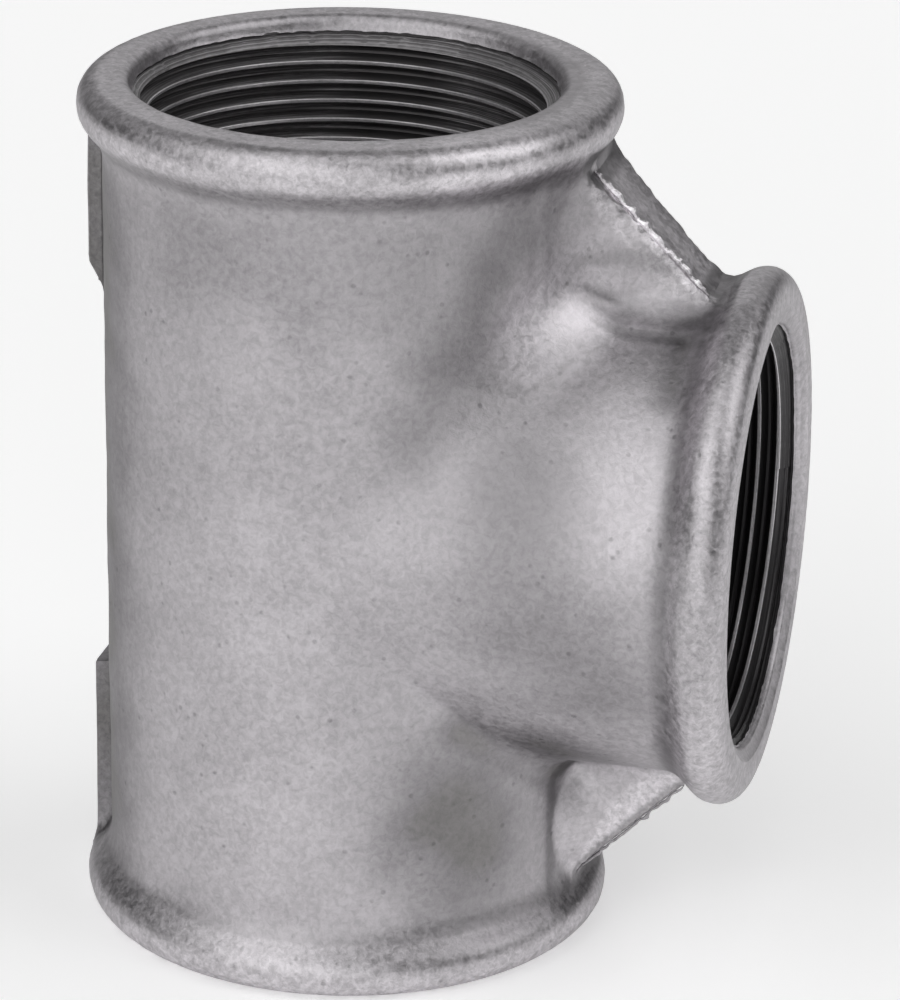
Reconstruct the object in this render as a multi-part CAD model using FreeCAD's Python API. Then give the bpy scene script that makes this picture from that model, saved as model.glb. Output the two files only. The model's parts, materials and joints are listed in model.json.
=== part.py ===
import FreeCAD, Part
import math
import os

from FreeCAD import Vector

# Galvanised cast iron equal tee with a beaded rim at each of its three threaded ends.
# Millimetres. The origin is the centre of the lower end face, +Z runs up the run and
# +X runs out along the branch.

# Pipe thread, 1 1/2 inch parallel, 11 threads to the inch
thread_major_radius = 23.90
thread_pitch = 25.4 / 11
thread_depth = 0.640327 * thread_pitch
thread_minor_radius = thread_major_radius - thread_depth
thread_end_depth = 19.1

# Mouth of each end: a slightly tapered rim as cast, then the chamfer that leads into the thread
mouth_clearance = 0.3
mouth_depth = 1.7
thread_chamfer_depth = 1.2
thread_start_depth = mouth_depth + thread_chamfer_depth
runout_depth = 1.8

# Overall reach from the crossing of the two axes
run_centre_to_face = 50.0
branch_centre_to_face = 49.2
run_length = 2 * run_centre_to_face
crossing = Vector(0, 0, run_centre_to_face)

# Barrel and cored waterway
core_clearance = 0.2
barrel_wall = 3.7
branch_barrel_step = 0.3
waterway_radius = thread_major_radius + core_clearance
run_barrel_radius = waterway_radius + barrel_wall
branch_barrel_radius = run_barrel_radius - branch_barrel_step
crotch_fillet = 6.0

# Bead round each end, measured back from the end face
bead_wall = 6.7
bead_band = 4.1
bead_length = 7.4
bead_face_corner = 2.8
bead_back_corner = 2.5
bead_neck_fillet = 2.2
bead_radius = thread_major_radius + bead_wall

# Webs at 45 degrees in the two crotches, flat on top and drafted on their sides
web_height = 11.1
web_half_width = 4.3
web_draft_degrees = 2.0
web_end_sink = 2.0

# Flares that spread the webs into the barrels, each given by the radius of its hollow side
upper_flare_on_run = 14.0
upper_flare_on_branch = 5.0
lower_flare_on_run = 4.0
lower_flare_on_branch = 4.0
flare_sink = 0.15
flare_start = 18.0

# Flat pads down the back of the run, under each bead
pad_half_width = 4.3
pad_seat = 2.0
upper_pad_height = 2.0
upper_pad_length = 26.7
upper_pad_slope = 3.4
lower_pad_height = 1.7
lower_pad_length = 27.3
lower_pad_corner = 1.6

run_axis = Vector(0, 0, 1)
branch_axis = Vector(1, 0, 0)


def rounded_outline(corners):
    """Close a flat outline through (point, radius) corners, with a tangent arc at each radius."""
    arcs = []
    for i, (corner, radius) in enumerate(corners):
        before = (corners[i - 1][0] - corner).normalize()
        after = (corners[(i + 1) % len(corners)][0] - corner).normalize()
        half_angle = before.getAngle(after) / 2
        setback = radius / math.tan(half_angle)
        bisector = (before + after).normalize()
        middle = corner + bisector * (radius / math.sin(half_angle) - radius)
        arcs.append((corner + before * setback, middle, corner + after * setback, radius))
    edges = []
    for i, (start, middle, end, radius) in enumerate(arcs):
        if radius > 0:
            edges.append(Part.Arc(start, middle, end).toShape())
        next_start = arcs[(i + 1) % len(arcs)][0]
        edges.append(Part.LineSegment(end, next_start).toShape())
    return Part.Wire(edges)


def turned(corners, along, base):
    """Revolve (distance along the axis, radius from it, corner radius) corners about an axis."""
    across = Vector(0, 1, 0)
    outline = []
    for distance, radius, corner_radius in corners:
        outline.append((base + along * distance + across * radius, corner_radius))
    profile = Part.Face(rounded_outline(outline))
    return profile.revolve(base, along, 360)


def bead_corners(face, barrel_radius):
    """Corners of one bead, from the barrel out to an end face at the given distance."""
    return [
        (face - bead_length, barrel_radius, bead_neck_fillet),
        (face - bead_band, bead_radius, bead_back_corner),
        (face, bead_radius, bead_face_corner),
    ]


def run_blank():
    """Solid outside form of the run, with a bead at both ends."""
    upper = bead_corners(run_centre_to_face, run_barrel_radius)
    lower = [(-distance, radius, corner) for distance, radius, corner in reversed(upper)]
    ends = [(run_centre_to_face, 0, 0), (-run_centre_to_face, 0, 0)]
    return turned(lower + upper + ends, run_axis, crossing)


def branch_blank():
    """Solid outside form of the branch, from the run's axis out to its bead."""
    corners = [(0, 0, 0), (0, branch_barrel_radius, 0)]
    corners += bead_corners(branch_centre_to_face, branch_barrel_radius)
    corners += [(branch_centre_to_face, 0, 0)]
    return turned(corners, branch_axis, crossing)


def crotch_edges(body):
    """The curved seams where the branch barrel meets the run barrel."""
    found = []
    for edge in body.Edges:
        middle = edge.valueAt((edge.FirstParameter + edge.LastParameter) / 2) - crossing
        off_run = abs(math.hypot(middle.x, middle.y) - run_barrel_radius)
        off_branch = abs(math.hypot(middle.y, middle.z) - branch_barrel_radius)
        if off_run < branch_barrel_step and off_branch < branch_barrel_step:
            found.append(edge)
    return found


def web_face_distance():
    """Distance from the crossing to the flat outer face of a web."""
    return math.sqrt(2) * run_barrel_radius + web_height


def web_neck_half_width():
    """Half the width of a web where it reaches the crotch, with its draft."""
    return web_half_width + web_height * math.tan(math.radians(web_draft_degrees))


def web_corner(side, half_depth):
    """Three-cornered block under the outer face of a web, from one axis to the other."""
    reach = math.sqrt(2) * web_face_distance()
    back = Vector(0, -half_depth, 0)
    corners = [crossing, crossing + branch_axis * reach, crossing + run_axis * (side * reach), crossing]
    block = Part.Face(Part.makePolygon([corner + back for corner in corners]))
    return block.extrude(Vector(0, 2 * half_depth, 0))


def web(side):
    """Drafted plate of a web across one crotch: side is 1 above the branch, -1 below."""
    outwards = Vector(1, 0, side).normalize()
    lengthwise = Vector(1, 0, -side).normalize()
    across = Vector(0, 1, 0)
    face_distance = web_face_distance()
    root_distance = face_distance - web_height
    half_length = face_distance - math.sqrt(2) * (run_barrel_radius - web_end_sink)
    start = crossing - lengthwise * half_length
    outline = [
        start + outwards * face_distance + across * web_half_width,
        start + outwards * root_distance + across * web_neck_half_width(),
        start + outwards * root_distance - across * web_neck_half_width(),
        start + outwards * face_distance - across * web_half_width,
    ]
    section = Part.Face(Part.makePolygon(outline + outline[:1]))
    return section.extrude(lengthwise * (2 * half_length))


def flare(side, up, along, end, barrel_radius, hollow_radius):
    """Hollow-sided foot that spreads one web onto one barrel, on both sides of the web."""
    across = Vector(0, 1, 0)
    neck = web_neck_half_width()
    centre_distance = barrel_radius + hollow_radius - flare_sink
    centre_across = neck + hollow_radius
    centre_up = math.sqrt(centre_distance**2 - centre_across**2)
    foot_share = 1 - hollow_radius / centre_distance
    half_angle = (math.pi / 2 - math.asin(centre_across / centre_distance)) / 2
    middle_up = centre_up - hollow_radius * math.sin(half_angle)
    middle_across = centre_across - hollow_radius * math.cos(half_angle)
    start = crossing + along * flare_start
    edges = []
    tops = []
    feet = []
    for hand in (-1, 1):
        top = start + up * centre_up + across * (hand * neck)
        middle = start + up * middle_up + across * (hand * middle_across)
        foot = start + up * (foot_share * centre_up) + across * (hand * foot_share * centre_across)
        edges.append(Part.Arc(top, middle, foot).toShape())
        tops.append(top)
        feet.append(foot)
    edges.append(Part.LineSegment(tops[0], tops[1]).toShape())
    edges.append(Part.LineSegment(feet[0], feet[1]).toShape())
    section = Part.Face(Part.Wire(Part.__sortEdges__(edges)))
    foot_block = section.extrude(along * (end - flare_start))
    return foot_block.common(web_corner(side, centre_across))


def webs_with_flares():
    """Both webs, each with a flare on the run and one on the branch."""
    run_end = run_centre_to_face - bead_band
    branch_end = branch_centre_to_face - bead_band
    hollow_radii = {
        1: (upper_flare_on_run, upper_flare_on_branch),
        -1: (lower_flare_on_run, lower_flare_on_branch),
    }
    pieces = []
    for side, (on_run, on_branch) in hollow_radii.items():
        upright = run_axis * side
        pieces.append(web(side))
        pieces.append(flare(side, branch_axis, upright, run_end, run_barrel_radius, on_run))
        pieces.append(flare(side, upright, branch_axis, branch_end, branch_barrel_radius, on_branch))
    return pieces


def back_pads():
    """Two shallow flat pads down the back of the run, each running into a bead."""
    barrel = -run_barrel_radius
    inner = barrel + pad_seat
    upper_outer = barrel - upper_pad_height
    upper_end = run_length - upper_pad_length
    upper = [
        (Vector(inner, 0, run_length - bead_band), 0),
        (Vector(upper_outer, 0, run_length - bead_band), 0),
        (Vector(upper_outer, 0, upper_end + upper_pad_slope), 0),
        (Vector(barrel, 0, upper_end), 0),
        (Vector(inner, 0, upper_end), 0),
    ]
    lower_outer = barrel - lower_pad_height
    lower = [
        (Vector(inner, 0, bead_band), 0),
        (Vector(lower_outer, 0, bead_band), 0),
        (Vector(lower_outer, 0, lower_pad_length), lower_pad_corner),
        (Vector(inner, 0, lower_pad_length), 0),
    ]
    pads = []
    for outline in (upper, lower):
        side_face = Part.Face(rounded_outline(outline))
        side_face.translate(Vector(0, -pad_half_width, 0))
        pads.append(side_face.extrude(Vector(0, 2 * pad_half_width, 0)))
    return pads


def waterway(along, reach):
    """What is taken out of one end: mouth, chamfer, threaded length and the cored hollow."""
    corners = [
        (0, 0, 0),
        (reach, 0, 0),
        (reach, thread_major_radius + mouth_clearance, 0),
        (reach - mouth_depth, thread_major_radius, 0),
        (reach - thread_start_depth, thread_minor_radius, 0),
        (reach - thread_end_depth, thread_minor_radius, 0),
        (reach - thread_end_depth - runout_depth, waterway_radius, 0),
        (0, waterway_radius, 0),
    ]
    return turned(corners, along, crossing)


def casting():
    """The whole tee as one solid."""
    body = run_blank().fuse(branch_blank()).removeSplitter()
    body = body.makeFillet(crotch_fillet, crotch_edges(body))
    body = body.fuse(webs_with_flares() + back_pads())
    upper_end = waterway(run_axis, run_centre_to_face)
    lower_end = waterway(-run_axis, run_centre_to_face)
    branch_end = waterway(branch_axis, branch_centre_to_face)
    hollow = upper_end.fuse([lower_end, branch_end]).removeSplitter()
    return body.cut(hollow)


os.makedirs("parts", exist_ok=True)
tee = casting()
solid = tee.Solids[0]
solid.exportStep("parts/tee_casting.step")
box = solid.BoundBox
print("solids", len(tee.Solids), "valid", solid.isValid())
print("volume cm3", round(solid.Volume / 1000, 2))
print("box mm", round(box.XLength, 2), round(box.YLength, 2), round(box.ZLength, 2))
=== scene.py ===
# %% [markdown]
# # A galvanised cast iron pipe tee
# The object is one iron casting: a straight run with a branch at a right angle, a bead round each
# of the three mouths, a web across each crotch and two flat pads down the back. It was dipped in
# molten zinc and then tapped, so the outside is mottled grey zinc and the threads are bare iron.
# The measured part comes first, because every mesh here is made around it and in its frame.

# %% Load the measured part
import json
import math

import bmesh
import bpy
import numpy as np
from mathutils import Matrix, Vector, noise


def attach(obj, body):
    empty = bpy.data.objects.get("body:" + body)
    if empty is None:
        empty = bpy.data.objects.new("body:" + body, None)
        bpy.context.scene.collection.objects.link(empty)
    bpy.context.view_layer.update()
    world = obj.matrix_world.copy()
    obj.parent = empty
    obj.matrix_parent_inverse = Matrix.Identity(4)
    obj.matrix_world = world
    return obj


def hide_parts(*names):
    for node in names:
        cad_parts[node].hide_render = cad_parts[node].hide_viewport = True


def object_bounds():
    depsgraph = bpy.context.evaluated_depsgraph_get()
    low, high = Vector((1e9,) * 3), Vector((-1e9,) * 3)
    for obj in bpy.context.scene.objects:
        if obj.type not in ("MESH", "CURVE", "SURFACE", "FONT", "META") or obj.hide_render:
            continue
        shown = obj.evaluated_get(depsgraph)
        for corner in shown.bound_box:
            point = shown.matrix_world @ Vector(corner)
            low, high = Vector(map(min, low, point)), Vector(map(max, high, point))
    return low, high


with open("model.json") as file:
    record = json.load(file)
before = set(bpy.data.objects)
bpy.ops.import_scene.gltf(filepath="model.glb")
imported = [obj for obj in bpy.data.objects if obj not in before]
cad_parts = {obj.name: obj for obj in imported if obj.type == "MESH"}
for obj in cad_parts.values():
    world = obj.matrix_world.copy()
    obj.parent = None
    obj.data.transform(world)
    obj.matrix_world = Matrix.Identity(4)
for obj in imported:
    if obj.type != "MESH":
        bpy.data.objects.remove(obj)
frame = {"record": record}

cad_low, cad_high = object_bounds()
mounts = {mount["name"]: mount for mount in frame["record"]["mounts"]}
print("measured box in mm:", [round(1000 * side, 1) for side in cad_high - cad_low])

# %% [markdown]
# ## The sizes that matter
# A pipe fitter would give this part by its thread, its reach and its wall. The reach and the crest
# radius are read from the measured part. The rest are the sizes of its beads, webs and pads, in
# millimetres, and every form below is worked out from them. Points are counted from the crossing
# of the two axes, because both barrels are simplest there.

# %% Name the sizes
MM = 0.001
run_reach = (cad_high.z - cad_low.z) / MM / 2
branch_reach = cad_high.x / MM
crest_radius = mounts["run_top"]["dims"]["r_mm"]
thread_pitch = 25.4 / 11
thread_depth = 0.640327 * thread_pitch
root_radius = crest_radius + thread_depth
thread_end = 19.1
runout_end = 20.9
chamber_radius = 24.1
branch_chamber_radius = 24.0

run_radius = 27.8
branch_radius = 27.5
upper_crotch_fillet = 9.5
lower_crotch_fillet = 3.8
crotch_change = (-14, 8)

bead_radius = 30.6
bead_band = 4.1
bead_length = 7.4
bead_face_corner = 2.8
bead_back_corner = 3.2
bead_neck = 4.6

web_height = 11.1
web_face = math.sqrt(2) * run_radius + web_height
web_half_width = 4.3
web_half_length = 14.0
web_draft = math.tan(math.radians(2))
web_neck = web_half_width + web_height * web_draft
web_fillet, web_fillet_growth = 0.7, 1.7
web_fillet_change = (8.5, 12)
lobe_spread = 0.80
lobe_change = (-1.0, 10.5)
flare_sink = 0.15
flare_start = 18.0
flare_radii = {"run": (14.0, 4.0), "branch": (5.0, 4.0)}

pad_half_width = 4.3
upper_pad_height = 2.0
upper_pad_end = run_reach - 26.7
upper_pad_slope, upper_pad_slope_length = 1.7, 1.97
lower_pad_height = 1.7
lower_pad_end = run_reach - 27.3
pad_seat = 2
pad_fillet = 0.8
print(f"reach {run_reach:.1f} and {branch_reach:.1f} mm, crest radius {crest_radius:.2f} mm")

# %% [markdown]
# ## One skin, without joints
# On the real part everything outside is one skin: the molten iron filled one mould, and each form
# runs into the next through a fillet. Joining cylinders with booleans would leave hard seams, and
# bevelling those seams breaks where three forms meet. So the outside is described as a distance
# field, a function that says how far a point is from the surface, where a rounded union gives each
# seam its fillet. A turned form needs only the distance to its outline, drawn as corners and radii.

# %% Distance to a turned outline
def round_corners(corners, steps=14):
    """Points of a closed outline of (along, radius, corner radius), with an arc at each corner."""
    points = []
    for index, (along, radius, corner_radius) in enumerate(corners):
        corner = np.array([along, radius], float)
        if corner_radius == 0:
            points.append(corner)
            continue
        before = np.array(corners[index - 1][:2]) - corner
        after = np.array(corners[(index + 1) % len(corners)][:2]) - corner
        before /= np.linalg.norm(before)
        after /= np.linalg.norm(after)
        half_angle = math.acos(np.clip(before @ after, -1, 1)) / 2
        setback = corner_radius / math.tan(half_angle)
        inward = (before + after) / np.linalg.norm(before + after)
        centre = corner + inward * corner_radius / math.sin(half_angle)
        start = corner + before * setback - centre
        end = corner + after * setback - centre
        first = math.atan2(start[1], start[0])
        turn = (math.atan2(end[1], end[0]) - first + math.pi) % (2 * math.pi) - math.pi
        for angle in first + turn * np.linspace(0, 1, steps + 1):
            points.append(centre + corner_radius * np.array([math.cos(angle), math.sin(angle)]))
    return np.array(points)


def outline_distance(along, radius, outline):
    """Distance from points to a closed outline, negative inside it."""
    nearest = np.full(along.shape, 1e9)
    inside = np.zeros(along.shape, bool)
    for start, end in zip(outline, np.roll(outline, 1, axis=0)):
        edge = end - start
        out_along = along - start[0]
        out_radius = radius - start[1]
        share = np.clip((out_along * edge[0] + out_radius * edge[1]) / (edge @ edge), 0, 1)
        gap = (out_along - share * edge[0]) ** 2 + (out_radius - share * edge[1]) ** 2
        nearest = np.minimum(nearest, gap)
        crosses = (radius >= start[1]) != (radius >= end[1])
        if edge[1] != 0:
            crosses &= along < start[0] + out_radius * edge[0] / edge[1]
            inside ^= crosses
    return np.where(inside, -1, 1) * np.sqrt(nearest)


def rounded_union(first, second, fillet):
    """Join two distance fields with a fillet along their seam."""
    near_first = np.maximum(fillet - first, 0)
    near_second = np.maximum(fillet - second, 0)
    return np.maximum(fillet, np.minimum(first, second)) - np.hypot(near_first, near_second)


def barrel_outline(start, reach, barrel_radius):
    """Half outline of a barrel with its bead, from its start out to the end face."""
    corners = [
        (start, 0, 0),
        (start, barrel_radius, 0),
        (reach - bead_length, barrel_radius, bead_neck),
        (reach - bead_band, bead_radius, bead_back_corner),
        (reach, bead_radius, bead_face_corner),
        (reach, 0, 0),
    ]
    return round_corners(corners)


run_outline = barrel_outline(-run_reach, run_reach, run_radius)
branch_outline = barrel_outline(-2.0, branch_reach, branch_radius)
print("outline points:", len(run_outline), "for the run,", len(branch_outline), "for the branch")

# %% [markdown]
# ## The webs, the pads and the mismatch of the mould
# Each web is a flat-topped rib across a crotch, and its sides spread into the barrels in hollow
# flares, the widest where the upper web stands on the run. A small draft let the pattern leave the
# sand, and the lower web bellies out into a lobe towards the run. The two halves of a sand mould
# never meet exactly, and a tap never runs quite in the middle of a casting, so in the picture the
# rings are wider on one side than on the other. Here the outside is shifted by those few tenths and
# the bores stay true. The two barrels are nearly the same size, so at the sides one runs into the
# other, and the fillet fades to nothing there, as a ball rolled along the seam would leave it.

# %% Describe the whole outside
casting_shift = np.array([0.6, 0.0, 0.0])
upper_bead_shift = (-0.1, -0.1)
lower_bead_shift = (0.4, -0.4)
branch_bead_shift = (0.1, -0.2)


def smooth_step(value, low, high):
    """0 below low, 1 above high, and an even curve between."""
    share = np.clip((value - low) / (high - low), 0, 1)
    return share * share * (3 - 2 * share)


def run_form(x, y, z):
    """The run with a bead at both ends."""
    share = np.clip(np.abs(z) / run_reach, 0, 1)
    off_x = share * np.where(z > 0, upper_bead_shift[0], lower_bead_shift[0])
    off_y = share * np.where(z > 0, upper_bead_shift[1], lower_bead_shift[1])
    return outline_distance(np.abs(z), np.hypot(x - off_x, y - off_y), run_outline)


def branch_form(x, y, z):
    """The branch, from inside the run out to its bead."""
    share = np.clip(x / branch_reach, 0, 1)
    radius = np.hypot(y - share * branch_bead_shift[0], z - share * branch_bead_shift[1])
    return outline_distance(x, radius, branch_outline)


def flare_section(up, across, barrel_radius, hollow_radius):
    """Section of the hollow-sided foot that spreads a web onto one barrel."""
    centre_distance = barrel_radius + hollow_radius - flare_sink
    centre_across = web_neck + hollow_radius
    centre_up = np.sqrt(centre_distance**2 - centre_across**2)
    foot_across = centre_across * (1 - hollow_radius / centre_distance)
    hollow = hollow_radius - np.hypot(up - centre_up, np.abs(across) - centre_across)
    beside_foot = np.abs(across) - foot_across
    return np.maximum.reduce([hollow, up - centre_up, beside_foot, flare_start - up])


def web_form(x, y, z):
    """Both webs: flat on top at 45 degrees, drafted plates with a flare on each barrel."""
    height = np.abs(z)
    out = (x + height) / math.sqrt(2)
    lobe = lobe_spread * smooth_step((height - x) / math.sqrt(2), *lobe_change)
    draft = web_draft + np.where(z > 0, 0, lobe)
    side = (np.abs(y) - web_half_width - draft * (web_face - out)) / np.hypot(1, draft)
    lengthwise = np.abs(x - height) / math.sqrt(2) - web_half_length
    plate = np.maximum.reduce([side, lengthwise, run_radius - out])
    on_run = flare_section(x, y, run_radius, np.where(z > 0, *flare_radii["run"]))
    on_run = np.maximum.reduce([on_run, flare_start - height, height - run_reach + bead_band])
    on_branch = flare_section(height, y, branch_radius, np.where(z > 0, *flare_radii["branch"]))
    on_branch = np.maximum.reduce([on_branch, flare_start - x, x - branch_reach + bead_band])
    return np.maximum(np.minimum.reduce([plate, on_run, on_branch]), out - web_face)


def pad_form(x, y, z):
    """Both pads down the back of the run."""
    height = np.where(z > 0, upper_pad_height, lower_pad_height)
    face = -x - run_radius - height
    upper_end = (upper_pad_end - z - (x + run_radius) * upper_pad_slope) / upper_pad_slope_length
    lower_end = z + lower_pad_end
    end = np.where(z > 0, upper_end, lower_end)
    inner = x + run_radius - pad_seat
    top = np.abs(z) - run_reach + bead_band
    return np.maximum.reduce([face, np.abs(y) - pad_half_width, end, top, inner])


def fillet_share(y):
    """How much of the crotch's fillet is left: 1 in the middle, 0 where the barrels touch."""
    cosine = np.clip(y**2 / (run_radius * branch_radius), 0, 1)
    return (1 - np.sqrt((1 + cosine) / 2)) / (1 - math.sqrt(0.5))


def casting_form(points):
    """Distance from points to the outside of the casting."""
    x, y, z = (points - casting_shift).T
    upper = smooth_step(z, *crotch_change)
    crotch = lower_crotch_fillet + (upper_crotch_fillet - lower_crotch_fillet) * upper
    body = rounded_union(run_form(x, y, z), branch_form(x, y, z), crotch * fillet_share(y))
    from_middle = np.abs(x - np.abs(z)) / math.sqrt(2)
    web_blend = web_fillet + web_fillet_growth * smooth_step(from_middle, *web_fillet_change)
    body = rounded_union(body, web_form(x, y, z), web_blend)
    return rounded_union(body, pad_form(x, y, z), pad_fillet)


# %% [markdown]
# ## From distance field to mesh
# Blender's remesh modifier also turns a form into an even skin, but it snaps to its own grid and
# blurs the fillets. A surface net is short to write and keeps them: it puts one vertex in each grid
# cell that the surface passes through, and one quad across each grid edge that it crosses. The
# vertices are then slid onto the exact surface. Only cells near the surface are worked out, which
# is what makes a fine grid affordable.

# %% Net the surface
net_step = 0.79
coarse_cells = 5


def near_surface_grid(field, low, high):
    """Distances on a fine grid, worked out only in blocks that the surface can pass through."""
    block = net_step * coarse_cells
    blocks = np.ceil((high - low) / block).astype(int)
    centres = [low[axis] + block * (np.arange(blocks[axis]) + 0.5) for axis in range(3)]
    grid = np.stack(np.meshgrid(*centres, indexing="ij"), axis=-1)
    distance = field(grid.reshape(-1, 3)).reshape(blocks)
    fine = [low[axis] + net_step * np.arange(blocks[axis] * coarse_cells + 1) for axis in range(3)]
    values = np.ones([len(axis) for axis in fine]) * block
    reach = block * math.sqrt(3) / 2 + net_step
    values[:-1, :-1, :-1] = np.kron(np.sign(distance), np.ones([coarse_cells] * 3)) * block
    wanted = np.zeros(values.shape, bool)
    near = np.kron(np.abs(distance) < reach, np.ones([coarse_cells] * 3, bool))
    for shift in np.ndindex(2, 2, 2):
        place = tuple(slice(s, s + n) for s, n in zip(shift, near.shape))
        wanted[place] |= near
    index = np.argwhere(wanted)
    places = np.stack([fine[axis][index[:, axis]] for axis in range(3)], axis=-1)
    values[wanted] = field(places)
    return values


def surface_net(values, low):
    """Vertices and quads of the surface through a grid of distances."""
    inside = values < 0
    cells = tuple(n - 1 for n in values.shape)
    total = np.zeros(cells + (3,))
    count = np.zeros(cells)
    crossings = []
    for axis in range(3):
        first = [slice(None)] * 3
        second = [slice(None)] * 3
        first[axis] = slice(None, -1)
        second[axis] = slice(1, None)
        crossed = np.argwhere(inside[tuple(first)] != inside[tuple(second)])
        step = np.zeros(3, int)
        step[axis] = 1
        value_a = values[tuple(crossed.T)]
        value_b = values[tuple((crossed + step).T)]
        place = crossed + step * (value_a / (value_a - value_b))[:, None]
        side = [np.eye(3, dtype=int)[(axis + 1) % 3], np.eye(3, dtype=int)[(axis + 2) % 3]]
        ring = [crossed - side[0] - side[1], crossed - side[1], crossed, crossed - side[0]]
        for cell in ring:
            np.add.at(total, tuple(cell.T), place)
            np.add.at(count, tuple(cell.T), 1)
        crossings.append((ring, value_a < 0))
    used = count > 0
    number = np.full(cells, -1)
    number[used] = np.arange(used.sum())
    vertices = total[used] / count[used][:, None] * net_step + low
    quads = []
    for ring, outward in crossings:
        quad = np.stack([number[tuple(cell.T)] for cell in ring], axis=-1)
        quads.append(np.where(outward[:, None], quad, quad[:, ::-1]))
    return vertices, np.concatenate(quads)


def field_slope(field, points, step=0.02):
    """Unit direction in which the distance grows."""
    slope = np.empty(points.shape)
    for axis in range(3):
        offset = np.zeros(3)
        offset[axis] = step
        slope[:, axis] = field(points + offset) - field(points - offset)
    return slope / np.linalg.norm(slope, axis=1, keepdims=True)


slide_passes = 2
margin = 2.0
net_low = np.array([-33.0, -31.5, -run_reach]) - margin
net_high = np.array([branch_reach + 0.6, 31.5, run_reach]) + margin
skin_vertices, skin_quads = surface_net(near_surface_grid(casting_form, net_low, net_high), net_low)
for _ in range(slide_passes):
    slope = field_slope(casting_form, skin_vertices)
    skin_vertices -= slope * casting_form(skin_vertices)[:, None]


wide_lump, wide_lump_size = 0.10, 8.5
small_lump, small_lump_size = 0.06, 3.1
flat_near_face = (0.2, 2.0)


def lump(point):
    """How far the cast skin stands out or in at a point, in millimetres."""
    place = Vector(point)
    wide = wide_lump * noise.noise(place / wide_lump_size)
    return wide + small_lump * noise.noise(place / small_lump_size + Vector((7, 3, 5)))


to_run_face = run_reach - np.abs(skin_vertices[:, 2])
to_branch_face = branch_reach + casting_shift[0] - skin_vertices[:, 0]
to_end = np.minimum(to_run_face, to_branch_face)
lumps = np.array([lump(point) for point in skin_vertices]) * smooth_step(to_end, *flat_near_face)
skin_vertices += slope * lumps[:, None]
print("lumps from", lumps.min().round(2), "to", lumps.max().round(2), "mm")
print("outside skin:", len(skin_vertices), "vertices,", len(skin_quads), "quads")

# %% [markdown]
# ## Meshes in the frame of the part
# The forms above are in millimetres from the crossing, and the part is in metres from its lower
# face. One helper makes that change, so that no other line has to. A closed mesh is what the next
# step needs, and it prints how many vertices and faces each one has.

# %% Make an object from points and faces
crossing_height = run_reach


def make_object(name, vertices, faces, material_index=None):
    """Mesh object from points in millimetres counted from the crossing of the axes."""
    mesh = bpy.data.meshes.new(name)
    placed = (np.asarray(vertices) + np.array([0, 0, crossing_height])) * MM
    mesh.from_pydata(placed.tolist(), [], [list(map(int, face)) for face in faces])
    if material_index is not None:
        mesh.polygons.foreach_set("material_index", np.asarray(material_index, np.int32))
    mesh.update()
    made = bpy.data.objects.new(name, mesh)
    bpy.context.scene.collection.objects.link(made)
    print(f"{name}: {len(mesh.vertices)} vertices, {len(mesh.polygons)} faces")
    return made


ZINC, BARE_IRON = 0, 1
casting = make_object("tee_casting_visual", skin_vertices, skin_quads)

# %% [markdown]
# ## The fins
# Along the near edge of each web some metal ran into the joint of the mould, and left a thin torn
# fin that catches the light. It is finer than the cells of the net, so each fin is a small closed
# strip of its own, carried along the edge with its place and thickness wandering, and it is joined
# to the skin by a boolean. Displacing the skin instead would need far smaller cells all over.

# %% Run a fin along each web
fins = {
    "upper": dict(side=1, radius=0.46, first=-10.0, last=8.8, seed=3),
    "lower": dict(side=-1, radius=0.20, first=-9.5, last=8.0, seed=17),
}
fin_steps_per_mm = 5
fin_sides = 8
fin_tip = 1.5
fin_rise = 0.08
fin_wander, fin_sway = 0.25, 0.10


def web_edge(along, side, out=0.0, across=0.0):
    """Point on the near edge of a web, counted from the middle of the edge towards the branch."""
    distance = web_face + out
    x, height = (distance + along) / math.sqrt(2), (distance - along) / math.sqrt(2)
    return np.array([x, across - web_half_width, side * height]) + casting_shift


def web_fin(name, fin):
    """Closed strip along the near edge of a web, uneven like torn metal."""
    length = fin["last"] - fin["first"]
    count = round(length * fin_steps_per_mm)
    vertices, faces = [], []
    for along in np.linspace(fin["first"], fin["last"], count + 1):
        slow = noise.noise(Vector((0.9 * along, fin["seed"], 0)))
        quick = noise.noise(Vector((1.9 * along, fin["seed"], 4)))
        to_tip = min(along - fin["first"], fin["last"] - along)
        taper = 0.3 + 0.7 * smooth_step(to_tip, 0, fin_tip)
        thickness = fin["radius"] * (0.85 + 0.55 * slow + 0.30 * quick) * taper
        for angle in np.arange(fin_sides) * 2 * math.pi / fin_sides:
            out = fin_rise + fin_wander * slow + thickness * math.cos(angle)
            across = fin_sway * quick + thickness * math.sin(angle)
            vertices.append(web_edge(along, fin["side"], out, across))
    for ring in range(count):
        for j in range(fin_sides):
            k = (j + 1) % fin_sides
            here, following = ring * fin_sides, (ring + 1) * fin_sides
            faces.append((here + j, here + k, following + k, following + j))
    faces.append(list(range(fin_sides))[::-1])
    faces.append([count * fin_sides + j for j in range(fin_sides)])
    return make_object(name, vertices, faces, [ZINC] * len(faces))


# %% [markdown]
# ## What the core and the tap leave
# A sand core made the waterway, and then a tool cut the lead-in and the thread. So the hollow is
# made as solids that are taken out of the skin, one set for each end: a turned one for the lip,
# mouth, chamfer and core, and a helical one for the thread's groove. A screw modifier could make
# the groove too, but not its start and run-out, which here are simply where the two solids cross.
# The zinc stopped raggedly where the tool first bit, so the edge of the mouth wanders.

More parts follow.
